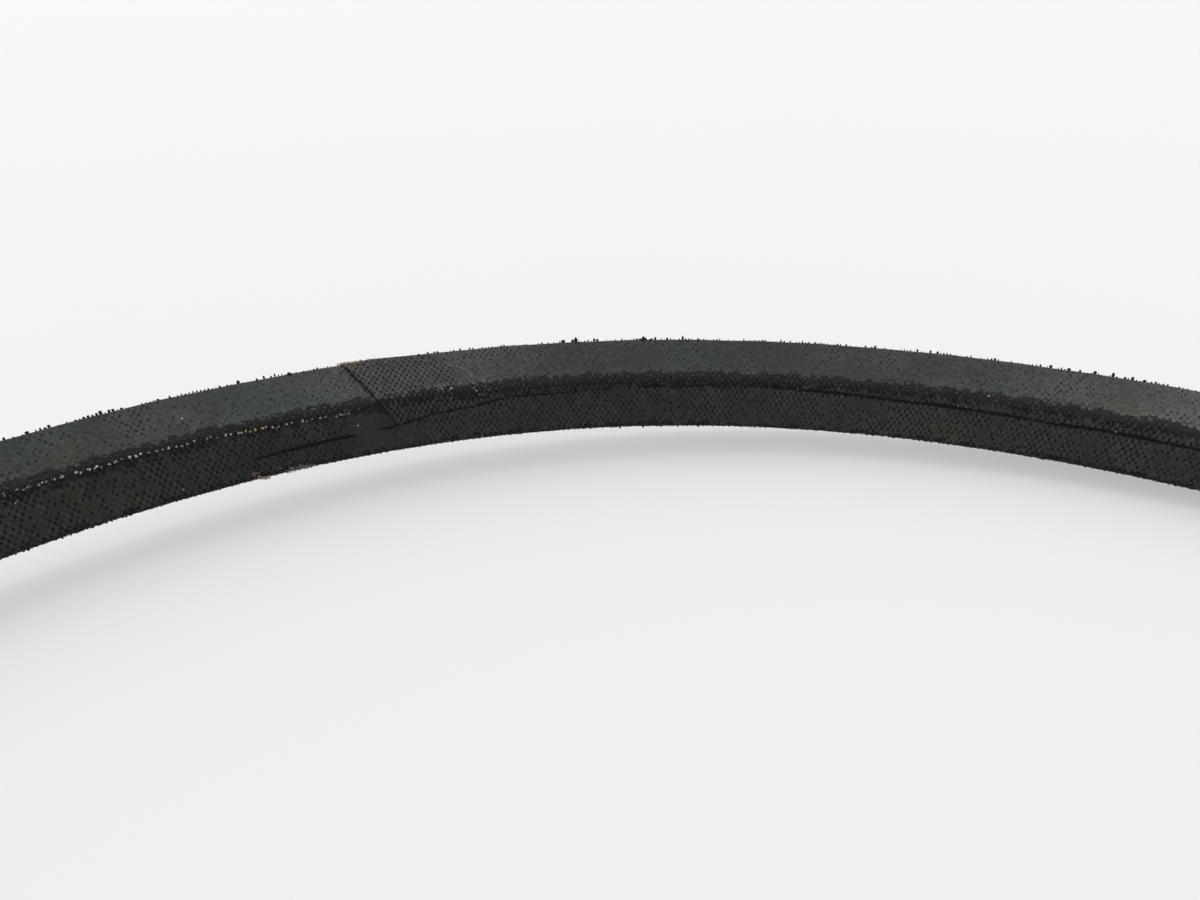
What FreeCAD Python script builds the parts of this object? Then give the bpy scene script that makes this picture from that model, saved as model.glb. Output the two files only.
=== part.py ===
import FreeCAD, Part
import math
import os

# A classical wrapped V belt of A section, as one closed loop lying relaxed on a flat surface.
# The origin is the centre of the loop on the plane that the belt rests on, and +Z is up.
# The belt's section is described by two lengths: "out", measured from the narrow inner face
# towards the wide outer face, and "up", measured from the middle of the belt's width along Z.

# Overall sizes, in millimetres and degrees.
INSIDE_LENGTH = 737.0    # length round the narrow inner face
TOP_WIDTH = 13.0         # wide outer face, before its corners are rounded
BELT_HEIGHT = 8.0        # narrow face to wide face
WEDGE_ANGLE = 40.0       # between the two flanks
LOOP_RISE = 5.0          # two opposite stretches rise this far off the resting plane

# Cover: two plies of rubberised cloth, wrapped round a sharp-cornered core.
COVER_PLY = 0.45         # thickness of one ply
SEAM_INSET = 0.95        # end of the narrow face's flat to the outer ply's edge
SEAM_WIDTH = 0.4
SEAM_DEPTH = 0.2

# Lap: the tail of the outer ply, laid over its head at a slanting splice.
LAP_THICKNESS = 0.25
LAP_LENGTH = 12.0
LAP_ANGLE = 61.0         # place of the lap's middle round the loop, from +X
LAP_SLANT_UP = 0.49      # shift along the belt for each millimetre up
LAP_SLANT_OUT = 0.25     # shift along the belt for each millimetre out

# Tensile cord: one cord wound side by side in a single row, bedded in adhesion gum.
CORD_DIAMETER = 0.85
CORD_PITCH = 1.1         # from one turn to the next
CORD_DEPTH = 2.8         # wide face to the cord's centre line
GUM_MARGIN = 0.45        # gum over and under the cord
GUM_SIDE = 0.5           # least gum beside the first and last turns

# How finely curves are drawn.
LOOP_POINTS = 48         # round the loop
CORD_POINTS = 24         # round one turn of the cord
CORD_SIDES = 8
CORNER_FLATS = 4         # short flats that make one rounded corner

UP = FreeCAD.Vector(0.0, 0.0, 1.0)
INNER_RADIUS = INSIDE_LENGTH / (2.0 * math.pi)
HALF_WEDGE = math.radians(WEDGE_ANGLE / 2.0)
COVER_THICKNESS = 2.0 * COVER_PLY
CORD_OUT = BELT_HEIGHT - CORD_DEPTH
GUM_HALF = CORD_DIAMETER / 2.0 + GUM_MARGIN


def rise(angle):
    """Lift of the loop above its two resting stretches, which lie on the X axis."""
    return LOOP_RISE / 2.0 * (1.0 - math.cos(2.0 * angle))


def core_half_width(out):
    """Half the core's width at a distance out from the narrow face."""
    belt_half = TOP_WIDTH / 2.0 - (BELT_HEIGHT - out) * math.tan(HALF_WEDGE)
    return belt_half - COVER_THICKNESS / math.cos(HALF_WEDGE)


def core_corners(out_from, out_to):
    """Corners of the part of the core between two distances out, anticlockwise."""
    low = core_half_width(out_from)
    high = core_half_width(out_to)
    return [(out_from, -low), (out_to, -high), (out_to, high), (out_from, low)]


def wrapped_outline(thickness, seam=False):
    """Outline of a wrap of this thickness round the core, its corners rounded about the core's."""
    corners = core_corners(COVER_THICKNESS, BELT_HEIGHT - COVER_THICKNESS)
    flank = math.pi / 2.0 + HALF_WEDGE
    turns = [(-math.pi, -flank), (-flank, 0.0), (0.0, flank), (flank, math.pi)]
    points = []
    for (out, up), (first, last) in zip(corners, turns):
        for step in range(CORNER_FLATS + 1):
            angle = first + (last - first) * step / CORNER_FLATS
            points.append((out + thickness * math.cos(angle), up + thickness * math.sin(angle)))
    if seam:
        face = COVER_THICKNESS - thickness
        middle = core_half_width(COVER_THICKNESS) - SEAM_INSET
        points.append((face, middle + SEAM_WIDTH / 2.0))
        points.append((face + SEAM_DEPTH, middle))
        points.append((face, middle - SEAM_WIDTH / 2.0))
    return points


# The belt rests on the lowest point of its rounded outer corner.
REST_HEIGHT = max(up for out, up in wrapped_outline(COVER_THICKNESS))


def loop_point(angle, out, up):
    """Point in space at an angle round the loop, out and up in the section there."""
    radius = INNER_RADIUS + out
    height = REST_HEIGHT + rise(angle) + up
    return FreeCAD.Vector(radius * math.cos(angle), radius * math.sin(angle), height)


def loop_curve():
    """Closed curve of the middle of the narrow face."""
    angles = [2.0 * math.pi * i / LOOP_POINTS for i in range(LOOP_POINTS)]
    points = [loop_point(angle, 0.0, 0.0) for angle in angles]
    curve = Part.BSplineCurve()
    curve.interpolate(Points=points, PeriodicFlag=True)
    return curve


def sweep(spine, outline, angle=0.0):
    """Solid of an outline carried along a spine, upright all the way."""
    points = [loop_point(angle, out, up) for out, up in outline]
    pipe = Part.BRepOffsetAPI.MakePipeShell(spine)
    pipe.setBiNormalMode(UP)
    pipe.add(Part.makePolygon(points + points[:1]), False, False)
    pipe.build()
    pipe.makeSolid()
    return pipe.shape()


def whole_loop(outline):
    """Closed ring of an outline."""
    return sweep(Part.Wire(loop_curve().toShape()), outline)


def cover_ply(outside, inside):
    """One ply of the wrap, between its two outlines."""
    return whole_loop(outside).cut(whole_loop(inside))


def cover_splice_lap():
    """Tail of the outer ply: a short sleeve round the belt with slanting ends."""
    middle = math.radians(LAP_ANGLE)
    reach = BELT_HEIGHT + TOP_WIDTH
    half = (LAP_LENGTH / 2.0 + reach * (LAP_SLANT_UP + LAP_SLANT_OUT)) / INNER_RADIUS
    curve = loop_curve()
    ends = [curve.parameter(loop_point(middle + side * half, 0.0, 0.0)) for side in (-1.0, 1.0)]
    spine = Part.Wire(curve.toShape(ends[0], ends[1]))
    outside = sweep(spine, wrapped_outline(COVER_THICKNESS + LAP_THICKNESS), middle - half)
    inside = sweep(spine, wrapped_outline(COVER_THICKNESS), middle - half)
    along = FreeCAD.Vector(-math.sin(middle), math.cos(middle), 0.0)
    outward = FreeCAD.Vector(math.cos(middle), math.sin(middle), 0.0)
    corners = []
    for side, up in ((-1.0, -reach), (1.0, -reach), (1.0, reach), (-1.0, reach)):
        shift = side * LAP_LENGTH / 2.0 + LAP_SLANT_UP * up - LAP_SLANT_OUT * reach
        corners.append(loop_point(middle, -reach, up) + along * shift)
    face = Part.Face(Part.makePolygon(corners + corners[:1]))
    slab = face.extrude((outward + along * LAP_SLANT_OUT) * (2.0 * reach))
    return outside.cut(inside).common(slab)


def tensile_cord():
    """The cord, wound as one helix of whole turns that rises with the loop."""
    row = 2.0 * (core_half_width(CORD_OUT) - GUM_SIDE) - CORD_DIAMETER
    turns = int(row / CORD_PITCH)
    points = []
    for i in range(turns * CORD_POINTS + 1):
        turn = i / CORD_POINTS
        points.append(loop_point(2.0 * math.pi * turn, CORD_OUT, CORD_PITCH * (turn - turns / 2.0)))
    curve = Part.BSplineCurve()
    curve.interpolate(Points=points, Parameters=[float(i) for i in range(len(points))])
    ends = [float(turn * CORD_POINTS) for turn in range(turns + 1)]
    spine = Part.Wire([curve.toShape(first, last) for first, last in zip(ends, ends[1:])])
    outline = []
    for side in range(CORD_SIDES):
        angle = 2.0 * math.pi * (side + 0.5) / CORD_SIDES
        out = CORD_OUT + CORD_DIAMETER / 2.0 * math.cos(angle)
        up = CORD_DIAMETER / 2.0 * math.sin(angle) - CORD_PITCH * turns / 2.0
        outline.append((out, up))
    return sweep(spine, outline)


def adhesion_gum(cord):
    """The gum that the cord is bedded in, all round each turn."""
    return whole_loop(core_corners(CORD_OUT - GUM_HALF, CORD_OUT + GUM_HALF)).cut(cord)


def compression_rubber():
    """The body of the belt, from the cover on the narrow face to the gum."""
    return whole_loop(core_corners(COVER_THICKNESS, CORD_OUT - GUM_HALF))


def tension_rubber():
    """The rubber over the gum, up to the cover on the wide face."""
    return whole_loop(core_corners(CORD_OUT + GUM_HALF, BELT_HEIGHT - COVER_THICKNESS))


def main():
    cord = tensile_cord()
    core = core_corners(COVER_THICKNESS, BELT_HEIGHT - COVER_THICKNESS)
    ply_outside = wrapped_outline(COVER_THICKNESS, seam=True)
    ply_inside = wrapped_outline(COVER_PLY)
    nodes = {
        "tensile_cord": cord,
        "adhesion_gum": adhesion_gum(cord),
        "compression_rubber": compression_rubber(),
        "tension_rubber": tension_rubber(),
        "inner_cover_ply": cover_ply(ply_inside, core),
        "outer_cover_ply": cover_ply(ply_outside, ply_inside),
        "cover_splice_lap": cover_splice_lap(),
    }
    os.makedirs("parts", exist_ok=True)
    for name, shape in nodes.items():
        shape.exportStep(os.path.join("parts", name + ".step"))
        print(name, shape.isValid(), len(shape.Solids), round(shape.Volume, 1))


main()
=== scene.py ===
"""Looks of a wrapped V belt that lies relaxed as one closed loop.

The cover's outer ply and its splice are rebuilt as cloth with a seam, a lap, yarn ends and fluff.
The plies, rubbers and cord inside keep their own shapes and get finishes of their own.
"""
import logging
import math
import random
from collections.abc import Callable, Iterator
from dataclasses import dataclass, field
from enum import Enum

import bmesh
import bpy
from mathutils import Matrix, Vector


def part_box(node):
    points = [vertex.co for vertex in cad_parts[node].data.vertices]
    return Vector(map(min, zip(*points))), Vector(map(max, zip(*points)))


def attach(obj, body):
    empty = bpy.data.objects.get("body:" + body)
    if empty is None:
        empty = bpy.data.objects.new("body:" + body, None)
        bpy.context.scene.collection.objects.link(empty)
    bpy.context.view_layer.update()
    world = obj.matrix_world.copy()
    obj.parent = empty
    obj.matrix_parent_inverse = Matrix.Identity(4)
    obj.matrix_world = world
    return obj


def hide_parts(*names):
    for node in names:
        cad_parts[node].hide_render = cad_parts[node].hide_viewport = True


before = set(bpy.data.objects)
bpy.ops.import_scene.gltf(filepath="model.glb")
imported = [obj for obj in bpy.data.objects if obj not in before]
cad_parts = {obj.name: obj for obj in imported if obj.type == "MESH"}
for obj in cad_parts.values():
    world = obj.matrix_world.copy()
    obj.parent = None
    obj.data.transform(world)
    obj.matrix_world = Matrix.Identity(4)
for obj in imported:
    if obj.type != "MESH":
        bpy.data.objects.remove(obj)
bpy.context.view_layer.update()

MM = 0.001
BODY = "root"

log = logging.getLogger("v_belt")


class Slot(Enum):
    """Material slots of the record that the pieces take their finishes from."""

    CLOTH = "cover_cloth"
    RUBBER = "base_rubber"
    GUM = "adhesion_gum"
    CORD = "polyester_cord"


class Stretch(Enum):
    """Stretches of the belt's outline, in the order that the outline passes them."""

    WIDE_UPPER = 0
    OUTER_UPPER = 1
    FLANK_UPPER = 2
    RIDGE_UPPER = 3
    NARROW = 4
    RIDGE_LOWER = 5
    FLANK_LOWER = 6
    OUTER_LOWER = 7
    WIDE_LOWER = 8


@dataclass(frozen=True)
class Spot:
    """A point of the outline: where it is and which way it faces."""

    out: float
    up: float
    face_out: float
    face_up: float


@dataclass(frozen=True)
class Belt:
    """Shape of the loop and of its section, in metres and radians.

    "out" is measured from the narrow face towards the wide one, and "up" from mid width.
    """

    inner_radius: float
    rise: float
    rest_height: float
    height: float = 8.0 * MM
    top_width: float = 13.0 * MM
    half_wedge: float = math.radians(20.0)
    cover: float = 0.9 * MM

    @classmethod
    def from_frame(cls) -> "Belt":
        """Reads the loop's radius, rise and resting height from the CAD cover.

        Returns:
            The belt that the CAD cover shows.
        """
        low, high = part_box("outer_cover_ply")
        trial = cls(0.0, 0.0, 0.0)
        rest_height = trial.core_half(trial.height - trial.cover) + trial.cover
        return cls(high.x - trial.height, high.z - low.z - 2.0 * rest_height, rest_height)

    @property
    def length(self) -> float:
        """Length round the narrow face."""
        return 2.0 * math.pi * self.inner_radius

    def core_half(self, out: float) -> float:
        """Half the width of the core under the cover at a distance out."""
        half = self.top_width / 2.0 - (self.height - out) * math.tan(self.half_wedge)
        return half - self.cover / math.cos(self.half_wedge)

    def lift(self, angle: float) -> float:
        """Height of the belt's middle at an angle round the loop."""
        return self.rest_height + self.rise / 2.0 * (1.0 - math.cos(2.0 * angle))

    def place(self, angle: float, out: float, up: float) -> Vector:
        """Point in space of a place in the section.

        Args:
            angle: Angle round the loop.
            out: Distance out from the narrow face.
            up: Distance up from mid width.

        Returns:
            The point.
        """
        radius = self.inner_radius + out
        return Vector((radius * math.cos(angle), radius * math.sin(angle), self.lift(angle) + up))

    def lengths(self) -> list[float]:
        """Length of each stretch of the outline.

        Returns:
            The lengths, in the order of Stretch.
        """
        wide = self.core_half(self.height - self.cover)
        narrow = self.core_half(self.cover)
        flank = (self.height - 2.0 * self.cover) / math.cos(self.half_wedge)
        outer = (math.pi / 2.0 + self.half_wedge) * self.cover
        inner = (math.pi / 2.0 - self.half_wedge) * self.cover
        return [wide, outer, flank, inner, 2.0 * narrow, inner, flank, outer, wide]

    def start(self, stretch: Stretch) -> float:
        """Distance round the outline at which a stretch starts."""
        return sum(self.lengths()[: stretch.value])

    def middle(self, stretch: Stretch) -> float:
        """Distance round the outline to the middle of a stretch."""
        return self.start(stretch) + self.lengths()[stretch.value] / 2.0

    @property
    def girth(self) -> float:
        """Length right round the outline."""
        return sum(self.lengths())

    def spot(self, around: float) -> Spot:
        """Point of the outline at a distance round it from the middle of the wide face.

        Args:
            around: Distance round the outline; it may pass the girth.

        Returns:
            The point, with its outward direction in the section.
        """
        along = around % self.girth
        lower = along > self.girth / 2.0
        along = self.girth - along if lower else along
        wide, outer, flank, inner = self.lengths()[:4]
        high_out = self.height - self.cover
        tilt = math.pi / 2.0 + self.half_wedge
        if along < wide:
            out, up, face = self.height, along, 0.0
        elif along < wide + outer:
            face = (along - wide) / self.cover
            out = high_out + self.cover * math.cos(face)
            up = wide + self.cover * math.sin(face)
        elif along < wide + outer + flank:
            run = along - wide - outer
            face = tilt
            out = high_out - run * math.cos(self.half_wedge) + self.cover * math.cos(face)
            up = wide - run * math.sin(self.half_wedge) + self.cover * math.sin(face)
        elif along < wide + outer + flank + inner:
            face = tilt + (along - wide - outer - flank) / self.cover
            out = self.cover + self.cover * math.cos(face)
            up = self.core_half(self.cover) + self.cover * math.sin(face)
        else:
            face = math.pi
            out = 0.0
            up = self.girth / 2.0 - along
        side = -1.0 if lower else 1.0
        return Spot(out, side * up, math.cos(face), side * math.sin(face))

    def on_cover(self, angle: float, around: float, proud: float = 0.0) -> Vector:
        """Point in space on the cover, or proud of it.

        Args:
            angle: Angle round the loop.
            around: Distance round the outline.
            proud: Height over the cover.

        Returns:
            The point.
        """
        spot = self.spot(around)
        return self.place(angle, spot.out + spot.face_out * proud, spot.up + spot.face_up * proud)

    def facing(self, angle: float, around: float) -> Matrix:
        """Frame of a place on the cover.

        Args:
            angle: Angle round the loop.
            around: Distance round the outline.

        Returns:
            Rotation whose axes are along the belt, round its section, and out of the cover.
        """
        spot = self.spot(around)
        along = Vector((-math.sin(angle), math.cos(angle), 0.0))
        radial = Vector((math.cos(angle), math.sin(angle), 0.0))
        normal = radial * spot.face_out + Vector((0.0, 0.0, spot.face_up))
        across = normal.cross(along)
        return Matrix((along, across, normal)).transposed()


@dataclass(frozen=True)
class Splice:
    """Where the outer ply's tail laps over its head, and where the ply's edge runs.

    The way is the edge's own: runs past the tail's end and heights, both in millimetres.
    """

    belt: Belt
    angle: float = math.radians(64.1)
    slant_up: float = 0.49
    slant_out: float = 0.25
    length: float = 12.0 * MM
    before_end: float = math.radians(342.0)
    way: tuple[tuple[float, float], ...] = (
        (0.0, 0.0), (2.4, 0.45), (4.9, 0.95), (8.5, 1.15), (11.6, 1.6), (14.5, 2.1), (20.8, 2.05),
        (26.2, 2.3), (38.4, 2.6), (48.3, 2.7), (55.7, 2.4), (67.3, 2.0), (79.7, 1.8), (85.6, 1.65),
        (90.3, 1.85), (140.0, 1.6), (220.0, 2.3), (340.0, 1.5), (480.0, 2.2), (760.0, 1.8))

    def past(self, angle: float, out: float, up: float) -> float:
        """Distance past the tail's slanting end, towards smaller angles.

        Args:
            angle: Angle round the loop.
            out: Distance out from the narrow face.
            up: Distance up from mid width.

        Returns:
            The distance, which is below 0 for a short way before the end.
        """
        turn = (self.angle - angle) % (2.0 * math.pi)
        turn = turn - 2.0 * math.pi if turn > self.before_end else turn
        return turn * self.belt.inner_radius + self.slant_up * up + self.slant_out * out

    def edge_up(self, angle: float) -> float:
        """Height of the ply's edge on the narrow face, which wanders along the belt.

        Args:
            angle: Angle round the loop.

        Returns:
            Its height over mid width.
        """
        run = self.past(angle, 0.0, 0.0)
        if run < 0.0:
            return 0.038 * run - 0.1 * MM
        for (near, low), (far, high) in zip(self.way, self.way[1:]):
            if run < far * MM:
                return (low + (high - low) * smooth(near * MM, far * MM, run)) * MM
        return self.way[-1][1] * MM

    def gape(self, angle: float) -> float:
        """How far the ply's edge stands open.

        Args:
            angle: Angle round the loop.

        Returns:
            From 0, where it is moulded shut, to 1.
        """
        run = self.past(angle, 0.0, 0.0)
        if run < -2.2 * MM:
            return 0.75 * smooth(-19.0 * MM, -14.0 * MM, run) * (1.0 - smooth(-5.6 * MM, -5.0 * MM, run))
        thin = 0.6 - 0.35 * smooth(16.0 * MM, 24.0 * MM, run) + 0.7 * smooth(40.0 * MM, 56.0 * MM, run)
        ragged = 0.75 + 0.25 * math.sin(run / (1.7 * MM)) * math.sin(run / (4.3 * MM) + 1.0)
        return thin * ragged * (1.0 - smooth(0.86, 0.9, run / self.belt.length))


def smooth(low: float, high: float, value: float) -> float:
    """Eases from 0 at low to 1 at high."""
    share = min(1.0, max(0.0, (value - low) / (high - low)))
    return share * share * (3.0 - 2.0 * share)


def bell(middle: float, width: float, value: float) -> float:
    """A smooth bump of height 1 at the middle, gone at the width from it."""
    return 1.0 - smooth(0.0, width, abs(value - middle))


class Graph:
    """A node tree under construction, with short calls for the nodes that the finishes use."""

    def __init__(self, name: str, slot: str = "") -> None:
        """Starts an empty material.

        Args:
            name: Name of the material.
            slot: Record slot that it stands for, if any.
        """
        self.material = bpy.data.materials.new(name)
        self.material.use_nodes = True
        self.tree = self.material.node_tree
        self.tree.nodes.clear()
        self.output = self.tree.nodes.new("ShaderNodeOutputMaterial")
        self.shader = self.tree.nodes.new("ShaderNodeBsdfPrincipled")
        self.tree.links.new(self.shader.outputs["BSDF"], self.output.inputs["Surface"])
        if slot:
            self.material["slot"] = slot

    def put(self, socket: bpy.types.NodeSocket, value: object) -> None:
        """Links a socket to another, or sets its value.

        Args:
            socket: Socket to feed.
            value: Socket to read, or a plain value.
        """
        if isinstance(value, bpy.types.NodeSocket):
            self.tree.links.new(value, socket)
        else:
            socket.default_value = value

    def math(self, operation: str, *values: object) -> bpy.types.NodeSocket:
        """Adds a Math node.

        Args:
            operation: Its operation.
            values: Sockets or numbers that it works on.

        Returns:
            Its result.
        """
        node = self.tree.nodes.new("ShaderNodeMath")
        node.operation = operation
        for socket, value in zip(node.inputs, values):
            self.put(socket, value)
        return node.outputs[0]

    def ease(self, value: object, low: float, high: float, first: float = 0.0,
             last: float = 1.0) -> bpy.types.NodeSocket:
        """Maps a value smoothly from one range to another.

        Args:
            value: Socket to map.
            low: Value that gives the first result.
            high: Value that gives the last result.
            first: First result.
            last: Last result.

        Returns:
            The mapped value.
        """
        node = self.tree.nodes.new("ShaderNodeMapRange")
        node.interpolation_type = "SMOOTHSTEP"
        for socket, number in zip(node.inputs, (value, low, high, first, last)):
            self.put(socket, number)
        return node.outputs[0]

    def attribute(self, name: str) -> bpy.types.NodeSocket:
        """Reads a number kept on the mesh.

        Args:
            name: Name that the mesh keeps it under.

        Returns:
            The number.
        """
        node = self.tree.nodes.new("ShaderNodeAttribute")
        node.attribute_name = name
        return node.outputs["Fac"]

    def place(self) -> bpy.types.NodeSocket:
        """Reads the place on the object."""
        return self.tree.nodes.new("ShaderNodeTexCoord").outputs["Object"]

    def cloth(self) -> tuple[bpy.types.NodeSocket, bpy.types.NodeSocket]:
        """Reads where on the cloth a point is.

        Returns:
            How far along and how far around it is, in millimetres.
        """
        split = self.tree.nodes.new("ShaderNodeSeparateXYZ")
        node = self.tree.nodes.new("ShaderNodeUVMap")
        node.uv_map = "Cloth"
        self.put(split.inputs[0], node.outputs[0])
        return split.outputs[0], split.outputs[1]

    def noise(self, size: float, detail: float = 3.0, rough: float = 0.55) -> bpy.types.NodeSocket:
        """Adds noise.

        Args:
            size: Size of its broadest features, in metres.
            detail: How many finer layers it has.
            rough: How strong each finer layer is.

        Returns:
            The noise, about 0 to 1.
        """
        node = self.tree.nodes.new("ShaderNodeTexNoise")
        self.put(node.inputs["Vector"], self.place())
        node.inputs["Scale"].default_value = 1.0 / size
        node.inputs["Detail"].default_value = detail
        node.inputs["Roughness"].default_value = rough
        return node.outputs["Fac"]

    def dice(self, first: object, second: object) -> bpy.types.NodeSocket:
        """Gives each pair of whole numbers its own chance value.

        Args:
            first: One whole number.
            second: The other.

        Returns:
            The chance value, 0 to 1.
        """
        join = self.tree.nodes.new("ShaderNodeCombineXYZ")
        self.put(join.inputs[0], first)
        self.put(join.inputs[1], second)
        node = self.tree.nodes.new("ShaderNodeTexWhiteNoise")
        node.noise_dimensions = "2D"
        self.put(node.inputs["Vector"], join.outputs[0])
        return node.outputs["Value"]

    def mix(self, share: object, first: object, second: object) -> bpy.types.NodeSocket:
        """Mixes two colours.

        Args:
            share: Share of the second colour.
            first: First colour.
            second: Second colour.

        Returns:
            The mixed colour.
        """
        node = self.tree.nodes.new("ShaderNodeMix")
        node.data_type = "RGBA"
        sockets = [s for s in node.inputs if s.type == "RGBA"]
        self.put(node.inputs[0], share)
        for socket, colour in zip(sockets, (first, second)):
            self.put(socket, (*colour, 1.0) if isinstance(colour, tuple) else colour)
        return [s for s in node.outputs if s.type == "RGBA"][0]

    def tone(self, colour: object, factor: object) -> bpy.types.NodeSocket:
        """Lightens or darkens a colour.

        Args:
            colour: Colour to change.
            factor: Factor to multiply it by.

        Returns:
            The changed colour.
        """
        node = self.tree.nodes.new("ShaderNodeMix")
        node.data_type = "RGBA"
        node.blend_type = "MULTIPLY"
        node.inputs[0].default_value = 1.0
        sockets = [s for s in node.inputs if s.type == "RGBA"]
        self.put(sockets[0], (*colour, 1.0) if isinstance(colour, tuple) else colour)
        self.put(sockets[1], factor)
        return [s for s in node.outputs if s.type == "RGBA"][0]

    def bump(self, height: object, depth: float) -> None:
        """Makes the surface look raised, without moving it.

        Args:
            height: Height as a share of the depth.
            depth: Depth of the relief, in metres.
        """
        node = self.tree.nodes.new("ShaderNodeBump")
        node.inputs["Strength"].default_value = 1.0
        node.inputs["Distance"].default_value = depth
        self.put(node.inputs["Height"], height)
        self.put(self.shader.inputs["Normal"], node.outputs[0])

    def set(self, **values: object) -> None:
        """Sets or links the shader's sockets.

        Args:
            values: Value for each socket's name, with _ for a space.
        """
        for name, value in values.items():
            self.put(self.shader.inputs[name.replace("_", " ")], value)


@dataclass(frozen=True)
class Finish:
    """What every finish has: a name and the slot it belongs to."""

    name: str
    slot: Slot

    def material(self) -> bpy.types.Material:
        """Makes the material."""
        raise NotImplementedError


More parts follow.
